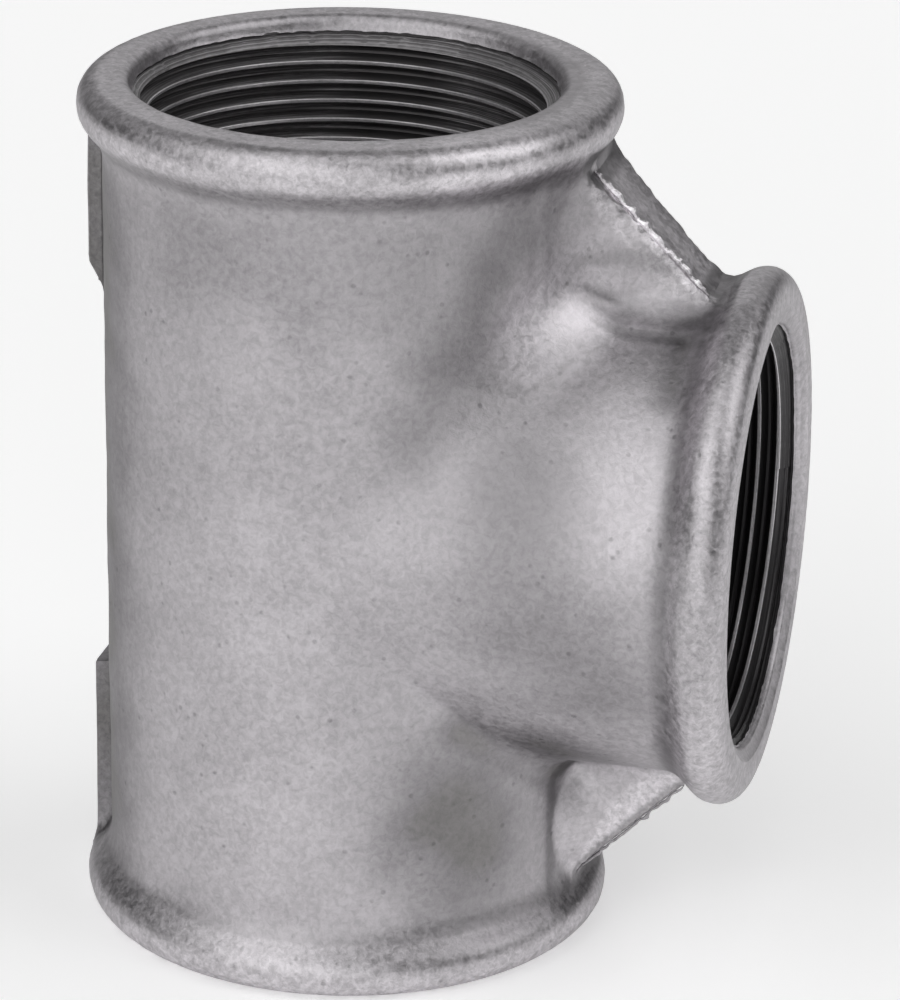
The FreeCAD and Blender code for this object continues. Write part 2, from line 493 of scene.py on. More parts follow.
# %% Turn the waterway of one end
around = 192
face_bore_radius = 24.1
edge_radius = 23.88
edge_wander = 0.12
mouth_wander = 0.10
zinc_wander = 0.12
lip_share = 0.8
lip_steps = 6
upright = Matrix.Identity(3)
downward = Matrix.Rotation(math.pi, 3, "X")
outward = Matrix.Rotation(math.pi / 2, 3, "Y")
ends = {
    "upper": dict(reach=run_reach, turn=upright, seed=11, core=chamber_radius, past=4.0,
                  zinc_end=1.75, chamfer_end=3.3, phase=2.86),
    "lower": dict(reach=run_reach, turn=downward, seed=23, core=chamber_radius, past=4.0,
                  zinc_end=1.6, chamfer_end=3.2, phase=2.1),
    "branch": dict(reach=branch_reach, turn=outward, seed=37, core=branch_chamber_radius,
                   past=-2.0, zinc_end=0.75, chamfer_end=2.2, phase=1.55),
}


def wander(angle, scale, seed):
    """Smooth noise round a circle, between about -1 and 1."""
    place = Vector((math.cos(angle), math.sin(angle), 0)) * scale
    return noise.fractal(place + Vector((0, 0, seed)), 0.6, 2.1, 4)


def waterway_rows(angle, end):
    """(depth, radius, finish of the next strip) from outside the face to past the crossing."""
    bore_edge = edge_radius + edge_wander * wander(angle, 9, end["seed"])
    mouth_edge = face_bore_radius + mouth_wander * wander(angle, 4, end["seed"] + 7)
    zinc_end = end["zinc_end"] + zinc_wander * wander(angle, 13, end["seed"] + 3)
    lip_radius = lip_share * end["zinc_end"]
    rows = [(-1.0, mouth_edge + lip_radius + 1.6, ZINC)]
    for turn in np.linspace(0, math.pi / 2, lip_steps):
        depth = lip_radius * (1 - math.cos(turn))
        rows.append((depth, mouth_edge + lip_radius * (1 - math.sin(turn)), ZINC))
    rows += [
        (zinc_end, bore_edge, BARE_IRON),
        (zinc_end + 0.06, bore_edge + 0.2, BARE_IRON),
        (zinc_end + 0.30, bore_edge + 0.16, BARE_IRON),
        (zinc_end + 0.38, bore_edge - 0.02, BARE_IRON),
        (end["chamfer_end"], crest_radius, BARE_IRON),
        (thread_end, crest_radius, BARE_IRON),
        (runout_end, end["core"], ZINC),
        (end["reach"] + end["past"], end["core"], ZINC),
    ]
    return rows


def turned_waterway(name, end):
    """Closed solid of the hollow of one end, without its thread."""
    angles = np.arange(around) * 2 * math.pi / around
    table = [waterway_rows(angle, end) for angle in angles]
    row_count = len(table[0])
    vertices = []
    for angle, rows in zip(angles, table):
        for depth, radius, _ in rows:
            ring = (radius * math.cos(angle), radius * math.sin(angle))
            vertices.append((*ring, end["reach"] - depth))
    faces, finish = [], []
    for i in range(around):
        here, following = i * row_count, (i + 1) % around * row_count
        for j in range(row_count - 1):
            faces.append((here + j, here + j + 1, following + j + 1, following + j))
            finish.append(table[0][j][2])
    outer_cap = [i * row_count for i in range(around)]
    inner_cap = [i * row_count + row_count - 1 for i in range(around)]
    faces += [outer_cap, inner_cap[::-1]]
    finish += [ZINC, ZINC]
    turned = np.array(vertices) @ np.array(end["turn"]).T
    return make_object(name, turned, faces, finish)


# %% [markdown]
# ## The thread
# It is a parallel pipe thread with 11 turns to the inch and 55 degree flanks. Its groove is a
# closed strip with the section of the tooth, carried round a helix. The tooth is a little eased at
# crest and root, as a tap leaves it, because a dead sharp crest never catches a line of light.

# %% Wind the thread's groove
segments_per_turn = 80
groove_section = [
    (crest_radius - 0.25, 1.05),
    (crest_radius, 1.02),
    (crest_radius + 0.10, 0.93),
    (root_radius - 0.10, 0.30),
    (root_radius, 0.10),
]
groove_start = 1.3
groove_end = 20.6


def thread_groove(name, end):
    """Closed solid of one right-hand thread groove."""
    section = [(radius, half) for radius, half in groove_section]
    section += [(radius, -half) for radius, half in reversed(groove_section)]
    count = round((groove_end - groove_start) / thread_pitch * segments_per_turn)
    vertices, faces = [], []
    for step in range(count + 1):
        turns = step / segments_per_turn
        angle = end["phase"] - 2 * math.pi * turns
        for radius, offset in section:
            depth = groove_start + thread_pitch * turns + offset
            ring = (radius * math.cos(angle), radius * math.sin(angle))
            vertices.append((*ring, end["reach"] - depth))
    size = len(section)
    for step in range(count):
        for j in range(size):
            k = (j + 1) % size
            here, following = step * size, (step + 1) * size
            faces.append((here + j, here + k, following + k, following + j))
    faces.append(list(range(size))[::-1])
    faces.append([count * size + j for j in range(size)])
    turned = np.array(vertices) @ np.array(end["turn"]).T
    return make_object(name, turned, faces, [BARE_IRON] * len(faces))


# %% [markdown]
# ## Taking the hollow out
# Blender has three boolean solvers. The manifold one is the quickest by far, and it is exact as
# long as every solid is closed, which all of these are. The solids are scratch objects, and they
# are removed once they have been used.

# %% Cut the three ends
def fix_normals(made):
    """Turn all faces of a closed mesh outwards."""
    mesh_edit = bmesh.new()
    mesh_edit.from_mesh(made.data)
    bmesh.ops.recalc_face_normals(mesh_edit, faces=mesh_edit.faces)
    mesh_edit.to_mesh(made.data)
    mesh_edit.free()


shapers = [(web_fin(name + "_fin", fin), "UNION") for name, fin in fins.items()]
for name, end in ends.items():
    shapers.append((turned_waterway(name + "_waterway", end), "DIFFERENCE"))
    shapers.append((thread_groove(name + "_thread", end), "DIFFERENCE"))
for shaper, operation in shapers:
    fix_normals(shaper)
    cut = casting.modifiers.new(shaper.name, "BOOLEAN")
    cut.operation = operation
    cut.solver = "MANIFOLD"
    cut.object = shaper
bpy.context.view_layer.update()
evaluated = casting.evaluated_get(bpy.context.evaluated_depsgraph_get())
cut_mesh = bpy.data.meshes.new_from_object(evaluated)
casting.modifiers.clear()
casting.data = cut_mesh
for shaper, _ in shapers:
    bpy.data.objects.remove(shaper)
triangles = sum(len(face.vertices) - 2 for face in cut_mesh.polygons)
print("casting:", len(cut_mesh.vertices), "vertices,", triangles, "triangles")

# %% [markdown]
# ## Smooth and sharp
# A casting is smooth all over and only the cut thread has edges, so the faces are shaded smooth and
# an edge stays sharp where two faces meet at more than a set angle.

# %% Shade the casting
sharp_angle = 32
merge_distance = 0.012


def tidy_and_shade(made):
    """Merge slivers that the cuts left, then shade smooth with sharp edges where the form turns."""
    mesh_edit = bmesh.new()
    mesh_edit.from_mesh(made.data)
    bmesh.ops.remove_doubles(mesh_edit, verts=mesh_edit.verts, dist=merge_distance * MM)
    bmesh.ops.dissolve_degenerate(mesh_edit, edges=mesh_edit.edges, dist=0.2 * merge_distance * MM)
    open_edges = sum(not edge.is_manifold for edge in mesh_edit.edges)
    mesh_edit.to_mesh(made.data)
    mesh_edit.free()
    made.data.shade_smooth()
    made.data.set_sharp_from_angle(angle=math.radians(sharp_angle))
    print("edges that aren't closed:", open_edges)


tidy_and_shade(casting)

# %% [markdown]
# ## Painted highlights and painted shade
# The bright and dark streaks on this zinc are painted highlights and painted shade. There are
# dull streaks in its crotches, down the left of the run and under its beads, and bright ones
# about the upper crotch, on the branch, on the lower web and on the upper bead. Noise alone would
# put them anywhere. So each one is listed as a soft streak on the skin, and noise only breaks its
# border.

# %% Lay out the patches
# Each patch is a soft streak of painted highlight or painted shade: from, to, how far it
# reaches, and how much brighter or darker it is.
painted_light_patches = [
    ((-4, -28, -35), (-3, -28, -5), 20, 0.08),
    ((38, -25, 8), (38, -21, 18), 9, 0.30),
    ((25, -14, 27.5), (32, -6.5, 29), 9, 0.80),
    ((36, -6, 28), (39, -4, 28), 6, 0.45),
    ((41, 0, 31), (31, 0, 41), 6, 0.50),
    ((25.5, -12, 43), (20.9, -18.3, 33.8), 7, -0.28),
    ((20.9, -18.3, 33.8), (17, -22, 24.4), 8, -0.33),
    ((17, -22, 24.4), (15, -23, 16), 8, -0.20),
    ((20, -20, -33), (18, -21.5, -29), 14, -0.48),
    ((19, -20, -19), (28.3, -7.5, -28), 5.5, -0.48),
    ((28, -18, -20), (30, -16, -22), 9, -0.45),
    ((29, -27, -4), (36, -26, -9), 13, -0.32),
    ((26, -25, 14), (26, -26, 3), 12, -0.28),
    ((-27, -9, -34), (-27, -9, 34), 19, -0.50),
    ((-10, -26, 36), (12, -25, 36), 12, -0.18),
    ((18, -25, 48.4), (24, -19.5, 48.4), 6, 0.34),
    ((45, -30, 14), (46, -31, -12), 6, -0.18),
    ((41, -4, 27.5), (41, -17, 21), 3.5, -0.45),
]
patch_wobble = 0.2
# Painted highlight on the lower web.
facet_painted_light = 0.20
# Painted shade under each bead: which end, and how dark it is.
neck_painted_shade = [
    ("upper", 0.37),
    ("lower", 0.06),
    ("branch", 0.36),
]
neck_reach = 2.7
run_neck = (1.5, 1.0)
branch_neck = (0.5, 0.3)


def neck_gap(places, name):
    """Distance from the ring where a barrel runs into its bead."""
    x, y, z = (places - casting_shift).T
    if name == "branch":
        along, off_axis = x - branch_reach + bead_length, np.hypot(y, z) - branch_radius
        return np.hypot(along - branch_neck[0], off_axis - branch_neck[1])
    height = z if name == "upper" else -z
    along, off_axis = height - run_reach + bead_length, np.hypot(x, y) - run_radius
    return np.hypot(along - run_neck[0], off_axis - run_neck[1])


def lower_facet(places):
    """1 on the surface of the lower web, fading to 0 over the fillet round it."""
    x, y, z = (places - casting_shift).T
    return (1 - smooth_step(np.abs(web_form(x, y, z)), 0.15, 0.7)) * (z < 0)


def painted_light_at(places):
    """How much painted highlight or painted shade each place gets."""
    wobble = np.array([noise.fractal(Vector(place) / 8, 0.8, 2.0, 2) for place in places])
    brighter, darker = np.zeros(len(places)), np.zeros(len(places))
    for start, end, reach, amount in painted_light_patches:
        start, along = np.array(start, float), np.subtract(end, start).astype(float)
        share = np.clip((places - start) @ along / (along @ along), 0, 1)
        gap = np.linalg.norm(places - start - share[:, None] * along, axis=1)
        gap += patch_wobble * reach * wobble
        part = amount * (1 - smooth_step(gap, 0.05 * reach, reach))
        brighter, darker = np.maximum(brighter, part), np.minimum(darker, part)
    # Painted shade under the beads.
    for name, amount in neck_painted_shade:
        part = -amount * (1 - smooth_step(neck_gap(places, name), 0.3, neck_reach))
        darker = np.minimum(darker, part)
    # The strongest painted highlight and the deepest painted shade at each place are added.
    return np.maximum(brighter, facet_painted_light * lower_facet(places)) + darker


# %% [markdown]
# ## Hollows and edges
# Flux, dirt and thin zinc stay in the hollows of a casting, and its edges are rubbed bright. Here
# the darkening of the hollows is partly flux stain and partly painted shade, and the brightening of
# the edges partly rubbed wear and partly a painted highlight. A pointiness node sees only the
# nearest vertices, so it changes with the mesh. The distance field knows better: a step outwards
# from a hollow gets less far from the surface than its own length, and so does a step inwards from
# an edge. The shortfalls are stored on the vertices, where the zinc finds them.

# %% Mark the hollows and the edges
hollow_steps = (1.5, 3.5, 7.0)
edge_step = 4.5
edge_limit = 0.22
lip_depth, lip_rub = 2.5, 0.15
# Painted highlight on the upper fin.
fin_painted_highlight = 0.3
# Painted shade along the lower fin.
lower_fin_painted_shade = 0.35
fin_border = (0.5, 1.1)
# How much of the hollows' darkening the lower web is spared, so that it is painted lighter.
facet_shade_lift = 0.8
bore_gap = 0.3


def shortfall(places, normals, step):
    """How much less than its length a step changes the distance, as a share of that length."""
    moved = casting_form(places + step * normals) - casting_form(places)
    return 1 - np.abs(moved) / abs(step)


def fin_mask(places, fin):
    """1 on a fin, fading to 0 a little beside it."""
    alongs = np.linspace(fin["first"], fin["last"], 90)
    line = np.array([web_edge(along, fin["side"]) for along in alongs])
    near = np.flatnonzero(np.abs(places - line.mean(axis=0)).max(axis=1) < 12)
    gap = np.full(len(places), 9.0)
    gap[near] = np.linalg.norm(places[near, None] - line[None], axis=2).min(axis=1)
    return 1 - smooth_step(gap, *fin_border)


def mark_vertices(made):
    """Store the masks "hollow", "edge" and "tone" on the vertices of the casting."""
    places = np.empty(len(made.data.vertices) * 3)
    made.data.vertices.foreach_get("co", places)
    places = places.reshape(-1, 3) / MM - np.array([0, 0, crossing_height])
    outside = casting_form(places) > -bore_gap
    from_mouth = np.minimum(run_reach - np.abs(places[:, 2]), branch_reach - places[:, 0])
    normals = field_slope(casting_form, places)
    hollow = sum(shortfall(places, normals, step) for step in hollow_steps) / len(hollow_steps)
    edge = shortfall(places, normals, -edge_step)
    on_upper, on_lower = fin_mask(places, fins["upper"]), fin_mask(places, fins["lower"])
    # The upper fin counts as an edge, so it gets the edge's painted highlight too.
    edge = np.maximum(np.minimum(edge, edge_limit), on_upper)
    # The lower web is spared the hollows' darkening, as painted light.
    hollow = hollow * (1 - facet_shade_lift * lower_facet(places))
    # The dark line along the lower fin is painted shade.
    hollow = np.maximum(hollow, lower_fin_painted_shade * on_lower)
    hollow = np.clip(np.where(outside, hollow, 0), 0, 1)
    edge = np.clip(np.where(outside, edge, lip_rub * (from_mouth < lip_depth)), 0, 1)
    # Painted highlights and painted shade of the streaks, and a painted highlight on the upper fin.
    painted_light = painted_light_at(places) + fin_painted_highlight * on_upper
    for name, mask in (("hollow", hollow), ("edge", edge), ("painted_light", painted_light)):
        stored = made.data.attributes.new(name, "FLOAT", "POINT")
        stored.data.foreach_set("value", mask.astype(np.float32))
        print(f"{name} mask: from {mask.min():.2f} to {mask.max():.2f}")


mark_vertices(casting)

# %% [markdown]
# ## Effects that both finishes share
# The zinc and the bare iron are both made of a few effects, and each is a node group with named
# sockets. One tells the shader how far a point is into a bore and from its axis. One makes the
# mottled relief of a cast skin. They work on object coordinates, so they stay put in any view.

# %% Helpers for node groups
def new_group(name, outputs):
    """Shader node group that puts out the named numbers, and its output node."""
    group = bpy.data.node_groups.new(name, "ShaderNodeTree")
    for socket in outputs:
        group.interface.new_socket(socket, in_out="OUTPUT", socket_type="NodeSocketFloat")
    return group, group.nodes.new("NodeGroupOutput")


def feed(tree, socket, value):
    """Link a socket to another, or set it to a plain value."""
    if isinstance(value, bpy.types.NodeSocket):
        tree.links.new(value, socket)
    else:
        socket.default_value = value


def calculate(tree, operation, *values, clamp=False):
    """One math node, and its result."""
    node = tree.nodes.new("ShaderNodeMath")
    node.operation = operation
    node.use_clamp = clamp
    for socket, value in zip(node.inputs, values):
        feed(tree, socket, value)
    return node.outputs[0]


def ramp(tree, value, low, high, to_low=0.0, to_high=1.0):
    """Smoothly map a value from low..high to to_low..to_high."""
    node = tree.nodes.new("ShaderNodeMapRange")
    node.interpolation_type = "SMOOTHSTEP"
    for socket, amount in zip(node.inputs, (value, low, high, to_low, to_high)):
        feed(tree, socket, amount)
    return node.outputs[0]


def blotches(tree, place, size_mm, detail=2.0, roughness=0.5, distortion=0.0):
    """Noise whose blotches are about the given size."""
    node = tree.nodes.new("ShaderNodeTexNoise")
    tree.links.new(place, node.inputs["Vector"])
    node.inputs["Scale"].default_value = 1 / (size_mm * MM)
    node.inputs["Detail"].default_value = detail
    node.inputs["Roughness"].default_value = roughness
    node.inputs["Distortion"].default_value = distortion
    return node.outputs["Fac"]


def blend_colours(tree, share, first, second):
    """Mix two colours, given as colours or sockets, by a share."""
    node = tree.nodes.new("ShaderNodeMix")
    node.data_type = "RGBA"
    feed(tree, node.inputs["Factor"], share)
    feed(tree, node.inputs["A"], first)
    feed(tree, node.inputs["B"], second)
    return node.outputs["Result"]


# %% [markdown]
# ## Where a point is in its bore
# The finish of a bore changes with depth: zinc on the lip, then the cut chamfer, then the thread,
# bright on its crests. Painting that on the faces would need a ring of faces for every change. A
# group that measures the depth and the distance from the axis gives it at any point.

# %% Make the group that measures a bore
def bore_group():
    """Where a point is in the nearest bore, in millimetres, and 1 where that is the branch's."""
    names = ["Depth", "Radius", "Past zinc", "Past chamfer", "In branch"]
    group, out = new_group("place in bore", names)
    place = group.nodes.new("ShaderNodeTexCoord").outputs["Object"]
    split = group.nodes.new("ShaderNodeSeparateXYZ")
    group.links.new(place, split.inputs[0])
    x, y, z = (calculate(group, "MULTIPLY", axis, 1 / MM) for axis in split.outputs)
    z = calculate(group, "SUBTRACT", z, crossing_height)
    squares = (calculate(group, "MULTIPLY", axis, axis) for axis in (x, y, z))
    square_x, square_y, square_z = squares
    radius_run = calculate(group, "SQRT", calculate(group, "ADD", square_x, square_y))
    radius_branch = calculate(group, "SQRT", calculate(group, "ADD", square_z, square_y))
    depth_run = calculate(group, "SUBTRACT", run_reach, calculate(group, "ABSOLUTE", z))
    depth_branch = calculate(group, "SUBTRACT", branch_reach, x)
    in_branch = calculate(group, "LESS_THAN", depth_branch, depth_run)
    past_run = calculate(group, "SUBTRACT", depth_run, ends["upper"]["zinc_end"])
    past_branch = calculate(group, "SUBTRACT", depth_branch, ends["branch"]["zinc_end"])
    beyond_run = calculate(group, "SUBTRACT", depth_run, ends["upper"]["chamfer_end"])
    beyond_branch = calculate(group, "SUBTRACT", depth_branch, ends["branch"]["chamfer_end"])
    group.links.new(in_branch, out.inputs["In branch"])
    measures = (
        ("Depth", depth_run, depth_branch),
        ("Radius", radius_run, radius_branch),
        ("Past zinc", past_run, past_branch),
        ("Past chamfer", beyond_run, beyond_branch),
    )
    for name, run_value, branch_value in measures:
        mix = group.nodes.new("ShaderNodeMix")
        feed(group, mix.inputs["Factor"], in_branch)
        feed(group, mix.inputs["A"], run_value)
        feed(group, mix.inputs["B"], branch_value)
        group.links.new(mix.outputs["Result"], out.inputs[name])
    return group


# %% [markdown]
# ## The skin of a casting
# Sand leaves a fine leathery grain, and zinc adds a mottle of about a millimetre and some pits. A
# single noise looks made, so there are three of different sizes, and cells for the pits.

# %% Make the group for the skin of a casting
def stored_mask(group, name):
    """Mask that was stored on the vertices."""
    node = group.nodes.new("ShaderNodeAttribute")
    node.attribute_name = name
    return node.outputs["Fac"]


def skin_group():
    """Mottle, pits, painted highlights and shade, and relief of a cast and dipped skin, and its
    hollows and edges.
    """
    names = ["Cloud", "Mottle", "Grain", "Pits", "Painted light", "Hollow", "Edge", "Relief", "Sideways"]
    group, out = new_group("cast skin", names)
    place = group.nodes.new("ShaderNodeTexCoord").outputs["Object"]
    split = group.nodes.new("ShaderNodeSeparateXYZ")
    group.links.new(place, split.inputs[0])
    sideways = calculate(group, "MULTIPLY", split.outputs["X"], 1 / MM)
    cloud = blotches(group, place, 13, 3, 0.6)
    mottle = blotches(group, place, 0.85, 4, 0.68, 0.5)
    grain = blotches(group, place, 0.45, 3, 0.6, 0.4)
    spots = group.nodes.new("ShaderNodeTexVoronoi")
    spots.inputs["Scale"].default_value = 1 / (1.5 * MM)
    spots.inputs["Randomness"].default_value = 1
    group.links.new(place, spots.inputs["Vector"])
    hollow = ramp(group, stored_mask(group, "hollow"), 0.0, 0.26)
    edge = ramp(group, stored_mask(group, "edge"), 0.04, 0.40)
    rare = ramp(group, blotches(group, place, 3.2, 2, 0.6), 0.49, 0.66)
    spot = ramp(group, spots.outputs["Distance"], 0.10, 0.26, 1, 0)
    pits = calculate(group, "MULTIPLY", spot, rare)
    relief = calculate(group, "ADD", mottle, calculate(group, "MULTIPLY", grain, 0.5))
    relief = calculate(group, "SUBTRACT", relief, calculate(group, "MULTIPLY", pits, 0.5))
    # Painted highlights and painted shade, stored on the vertices.
    painted_light = stored_mask(group, "painted_light")
    outputs = (cloud, mottle, grain, pits, painted_light, hollow, edge, relief, sideways)
    for name, value in zip(names, outputs):
        group.links.new(value, out.inputs[name])
    return group


bore_measure = bore_group()
cast_skin = skin_group()


def use_group(tree, group):
    """Place a node group in a material."""
    node = tree.nodes.new("ShaderNodeGroup")
    node.node_tree = group
    return node


def new_material(name):
    """Material with a Principled shader, returned as (material, tree, shader)."""
    material = bpy.data.materials.new(name)
    material.use_nodes = True
    tree = material.node_tree
    tree.nodes.clear()
    shader = tree.nodes.new("ShaderNodeBsdfPrincipled")
    output = tree.nodes.new("ShaderNodeOutputMaterial")
    tree.links.new(shader.outputs[0], output.inputs["Surface"])
    return material, tree, shader


def add_bump(tree, shader, height, distance_mm):
    """Raise a height through a bump node."""
    bump = tree.nodes.new("ShaderNodeBump")
    bump.inputs["Strength"].default_value = 1.0
    bump.inputs["Distance"].default_value = distance_mm * MM
    tree.links.new(height, bump.inputs["Height"])
    tree.links.new(bump.outputs[0], shader.inputs["Normal"])


# %% [markdown]
# ## Zinc
# Fresh zinc is bright and flowery. On small castings that were spun clean it is dull and mottled
# grey, with dark pits where it didn't wet and a slightly warm stain where flux lay in the hollows.

# %% Make the zinc
zinc_tone = 0.49
cloud_amount = 0.07
mottle_amount = 0.19
edge_mottle = 1.2
# Brightening of the edges: rubbed wear and a painted highlight.
rub_and_painted_highlight = 0.30
bright_speck, dark_speck = 0.30, 0.34
pit_depth = 0.28
# Darkening of the hollows: flux stain and painted shade.
hollow_stain_and_shade = 0.42
darkest = 0.15
clean_zinc = (1.0, 0.962, 1.0, 1)
burnt_zinc = (1.0, 0.966, 0.965, 1)
zinc_relief_mm = 0.045


def zinc_material():
    """Dull mottled zinc of a dipped casting."""
    material, tree, shader = new_material("galvanised zinc")
    skin = use_group(tree, cast_skin)
    mottle, grain, painted_light = skin.outputs["Mottle"], skin.outputs["Grain"], skin.outputs["Painted light"]
    hollow, edge = skin.outputs["Hollow"], skin.outputs["Edge"]
    coarse = calculate(tree, "ADD", 1.0, calculate(tree, "MULTIPLY", edge, edge_mottle))
    fine = ramp(tree, mottle, 0.25, 0.75, -mottle_amount, mottle_amount)
    shade = calculate(tree, "MULTIPLY", fine, coarse)
    bright = calculate(tree, "MULTIPLY", ramp(tree, grain, 0.52, 0.70, 0, bright_speck), edge)
    shade = calculate(tree, "ADD", shade, bright)
    dark = calculate(tree, "MULTIPLY", ramp(tree, grain, 0.30, 0.45, dark_speck, 0), edge)
    shade = calculate(tree, "SUBTRACT", shade, dark)
    # Edges brightened by rubbed wear and a painted highlight.
    shade = calculate(tree, "ADD", shade, calculate(tree, "MULTIPLY", edge, rub_and_painted_highlight))
    cloud = ramp(tree, skin.outputs["Cloud"], 0.3, 0.7, -cloud_amount, cloud_amount)
    shade = calculate(tree, "ADD", shade, cloud)
    pit = calculate(tree, "MULTIPLY", skin.outputs["Pits"], pit_depth)
    shade = calculate(tree, "SUBTRACT", shade, pit)
    shade = calculate(tree, "ADD", shade, 1.0)
    # Painted highlights and painted shade from the stored streaks brighten or darken the zinc.
    shade = calculate(tree, "MULTIPLY", shade, calculate(tree, "ADD", painted_light, 1.0))
    # Hollows darkened by flux stain and painted shade.
    shade = calculate(tree, "MULTIPLY", shade, ramp(tree, hollow, 0, 1, 1, 1 - hollow_stain_and_shade))
    shade = calculate(tree, "MAXIMUM", shade, darkest)
    # The warm flux tint goes where the painted shade is darkest.
    stain = ramp(tree, painted_light, -0.50, -0.34, 1, 0)
    tint = blend_colours(tree, stain, clean_zinc, burnt_zinc)
    colour = tree.nodes.new("ShaderNodeVectorMath")
    colour.operation = "SCALE"
    tree.links.new(tint, colour.inputs[0])
    tree.links.new(calculate(tree, "MULTIPLY", shade, zinc_tone), colour.inputs["Scale"])
    tree.links.new(colour.outputs[0], shader.inputs["Base Color"])
    shader.inputs["Metallic"].default_value = 1.0
    shader.inputs["Specular Tint"].default_value = (0.65, 0.65, 0.65, 1)
    rough = ramp(tree, mottle, 0.3, 0.7, 0.44, 0.56)
    rough = calculate(tree, "SUBTRACT", rough, calculate(tree, "MULTIPLY", edge, 0.14))
    tree.links.new(rough, shader.inputs["Roughness"])
    add_bump(tree, shader, skin.outputs["Relief"], zinc_relief_mm)
    return material


# %% [markdown]
# ## Bare iron
# The thread was cut after the dipping and oiled, so its flanks are nearly black with fine turned
# lines, and the crests, rubbed by the tap, are bright. A painted reflection brightens the flanks to
# both sides of the middle, and the branch's flanks and chamfer are painted darker than the run's,
# as painted shade. The turned lines follow depth and radius only, so they run round the bore as
# the tool did.

# %% Make the cut iron
oiled_run = (0.082, 0.078, 0.080, 1)
# Flanks in the branch: oiled iron painted darker, as painted shade.
branch_iron_painted_shade = (0.034, 0.032, 0.034, 1)
rubbed_iron = (0.76, 0.74, 0.76, 1)
turned_lines_scale = 7
turned_relief_mm = 0.03
# The branch's chamfer is painted darker, as painted shade.
branch_chamfer_painted_shade = 0.22
# How much of the painted reflection is left in the branch.
branch_painted_reflection = 0.1


def iron_material():
    """Oiled bare iron of a cut thread, dark in its roots and bright on its crests."""
    material, tree, shader = new_material("cut iron")
    bore = use_group(tree, bore_measure)
    skin = use_group(tree, cast_skin)
    turned = tree.nodes.new("ShaderNodeCombineXYZ")
    tree.links.new(bore.outputs["Depth"], turned.inputs[0])
    tree.links.new(bore.outputs["Radius"], turned.inputs[1])
    noise_node = tree.nodes.new("ShaderNodeTexNoise")
    noise_node.inputs["Scale"].default_value = turned_lines_scale
    noise_node.inputs["Detail"].default_value = 3
    tree.links.new(turned.outputs[0], noise_node.inputs["Vector"])
    lines, in_branch = noise_node.outputs["Fac"], bore.outputs["In branch"]
    crest = ramp(tree, bore.outputs["Radius"], crest_radius + 0.03, crest_radius + 0.16, 1, 0)
    chamfer = ramp(tree, bore.outputs["Past chamfer"], -0.1, 0.05, 1, 0)
    past_step = ramp(tree, bore.outputs["Past zinc"], 0.30, 0.42)
    chamfer = calculate(tree, "MULTIPLY", chamfer, past_step)
    chamfer = calculate(tree, "MULTIPLY", chamfer, ramp(tree, lines, 0.40, 0.68, 0.10, 0.50))
    # Painted shade on the chamfer in the branch.
    chamfer = calculate(tree, "MULTIPLY", chamfer, ramp(tree, in_branch, 0, 1, 1, branch_chamfer_painted_shade))
    # A painted reflection on the flanks, to both sides of the middle, weaker in the branch.
    off_middle = calculate(tree, "ABSOLUTE", skin.outputs["Sideways"])
    inner, outer = ramp(tree, off_middle, 3, 9, 0.06, 1.0), ramp(tree, off_middle, 12, 19, 1, 0.5)
    painted_reflection = calculate(tree, "MULTIPLY", inner, outer)
    painted_reflection = calculate(tree, "MULTIPLY", painted_reflection, ramp(tree, in_branch, 0, 1, 1, branch_painted_reflection))
    flank_painted_reflection = calculate(tree, "MULTIPLY", ramp(tree, lines, 0.42, 0.68, 0.03, 0.42), painted_reflection)
    bright = calculate(tree, "MAXIMUM", calculate(tree, "MAXIMUM", crest, chamfer), flank_painted_reflection)
    rubbed = ramp(tree, skin.outputs["Mottle"], 0.2, 0.6, 0.7, 1.0)
    bright = calculate(tree, "MULTIPLY", bright, rubbed)
    # The run's flanks are oiled iron; the branch's are painted darker, as painted shade.
    oiled_and_shaded = blend_colours(tree, in_branch, oiled_run, branch_iron_painted_shade)
    colour = blend_colours(tree, bright, oiled_and_shaded, rubbed_iron)
    tree.links.new(colour, shader.inputs["Base Color"])
    shader.inputs["Metallic"].default_value = 0.85
    tree.links.new(ramp(tree, bright, 0, 1, 0.48, 0.36), shader.inputs["Roughness"])
    add_bump(tree, shader, lines, turned_relief_mm)
    return material


def give_finishes(made, finishes):
    """Fill a mesh's material slots, keeping which face has which."""
    finish_of_face = np.empty(len(made.data.polygons), np.int32)
    made.data.polygons.foreach_get("material_index", finish_of_face)
    made.data.materials.clear()
    for finish in finishes:
        made.data.materials.append(finish)
    made.data.polygons.foreach_set("material_index", finish_of_face)
    print(f"{made.name}: faces of each finish", np.bincount(finish_of_face).tolist())


give_finishes(casting, [zinc_material(), iron_material()])
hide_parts("tee_casting")
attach(casting, "root")

# %% [markdown]
# ## The floor
# A pale floor gives the part somewhere to stand, and seen from above it fills the picture behind.
# It glows a little for the camera and in reflections only, so it looks white and still keeps the
# part's shadow, and no more light falls on the part.

# %% Lay the floor
floor_glow = 0.36
floor_radius = 3.0


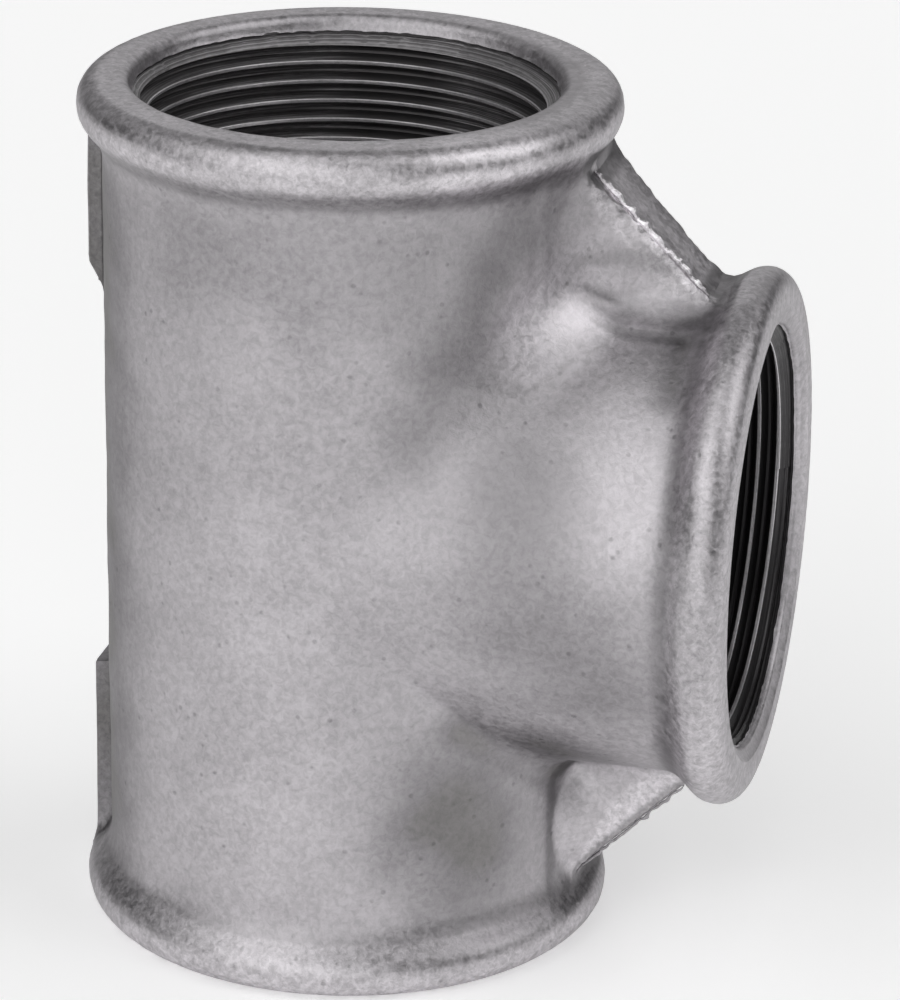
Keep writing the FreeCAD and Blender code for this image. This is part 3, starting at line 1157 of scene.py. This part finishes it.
def pale_floor():
    """A round pale floor."""
    mesh_edit = bmesh.new()
    bmesh.ops.create_circle(mesh_edit, cap_ends=True, segments=96, radius=floor_radius)
    mesh = bpy.data.meshes.new("floor")
    mesh_edit.to_mesh(mesh)
    mesh_edit.free()
    floor = bpy.data.objects.new("floor", mesh)
    bpy.context.scene.collection.objects.link(floor)
    material, tree, shader = new_material("pale floor")
    shader.inputs["Base Color"].default_value = (0.9, 0.9, 0.9, 1)
    shader.inputs["Roughness"].default_value = 0.9
    shader.inputs["Specular IOR Level"].default_value = 0.0
    shader.inputs["Emission Color"].default_value = (1, 1, 1, 1)
    rays = tree.nodes.new("ShaderNodeLightPath").outputs
    seen = calculate(tree, "ADD", rays["Is Camera Ray"], rays["Is Glossy Ray"])
    seen = calculate(tree, "ADD", seen, rays["Is Transmission Ray"], clamp=True)
    glow = calculate(tree, "MULTIPLY", seen, floor_glow)
    tree.links.new(glow, shader.inputs["Emission Strength"])
    floor.data.materials.append(material)
    return floor


pale_floor()

# %% [markdown]
# ## The light
# Metal shows what is round it more than its own colour, so the light is soft and wide: the main one
# low in front, one from the right and one from above, and weak ones that fill the back. A sun lamp
# with a wide angle is such a light, and unlike an area lamp it is as strong anywhere.

# %% Hang the lamps
def direction(azimuth, elevation):
    """Unit direction towards a place round the object: azimuth 0 is in front, 90 to the right."""
    a, e = math.radians(azimuth), math.radians(elevation)
    return Vector((math.sin(a) * math.cos(e), -math.cos(a) * math.cos(e), math.sin(e)))


def soft_light(name, azimuth, elevation, spread, level):
    """Far soft lamp. A white surface that faces it renders at about its level."""
    lamp = bpy.data.lights.new(name, "SUN")
    lamp.angle = math.radians(spread)
    lamp.energy = level * math.pi
    placed = bpy.data.objects.new(name, lamp)
    bpy.context.scene.collection.objects.link(placed)
    aim = -direction(azimuth, elevation)
    placed.rotation_euler = aim.to_track_quat("-Z", "Y").to_euler()


soft_light("front light", -6, 10, 72, 0.42)
soft_light("left front light", -50, 40, 50, 0.15)
soft_light("right light", 94, 45, 52, 0.27)
soft_light("top light", -20, 72, 52, 0.155)
soft_light("back light", 184, 26, 50, 0.12)
soft_light("left back light", -135, 30, 50, 0.05)
world = bpy.data.worlds.new("room")
bpy.context.scene.world = world
world.use_nodes = True
room = world.node_tree.nodes["Background"]
room.inputs["Color"].default_value = (1, 1, 1, 1)
room.inputs["Strength"].default_value = 0.02

# %% [markdown]
# ## The camera
# The camera stands where the picture was taken from. Its direction, distance and lens were fitted
# to the rims and the bead outlines, in millimetres and radians, and a small roll is part of the
# fit.

# %% Set the camera
camera_azimuth, camera_elevation, camera_roll = 0.2322, 0.3738, 0.0174
camera_distance = 541.30
focal_pixels = 4694.6
image_height = 1000
sideways, upwards = 11.7144, -0.8637
sensor_width = 36


def place_camera():
    """Camera at the picture's viewing angle."""
    back = Vector((
        math.sin(camera_azimuth) * math.cos(camera_elevation),
        -math.cos(camera_azimuth) * math.cos(camera_elevation),
        math.sin(camera_elevation),
    ))
    level_right = (-back).cross(Vector((0, 0, 1))).normalized()
    level_up = level_right.cross(-back)
    right = math.cos(camera_roll) * level_right + math.sin(camera_roll) * level_up
    up = math.cos(camera_roll) * level_up - math.sin(camera_roll) * level_right
    eye = back * camera_distance + right * sideways + up * upwards
    eye += Vector((casting_shift[0], 0, crossing_height))
    data = bpy.data.cameras.new("camera")
    data.sensor_width = sensor_width
    data.lens = focal_pixels / image_height * sensor_width
    placed = bpy.data.objects.new("camera", data)
    bpy.context.scene.collection.objects.link(placed)
    turned = Matrix((right, up, back)).transposed().to_4x4()
    placed.matrix_world = Matrix.Translation(eye * MM) @ turned
    bpy.context.scene.camera = placed


place_camera()
bpy.context.scene.view_settings.view_transform = "Standard"
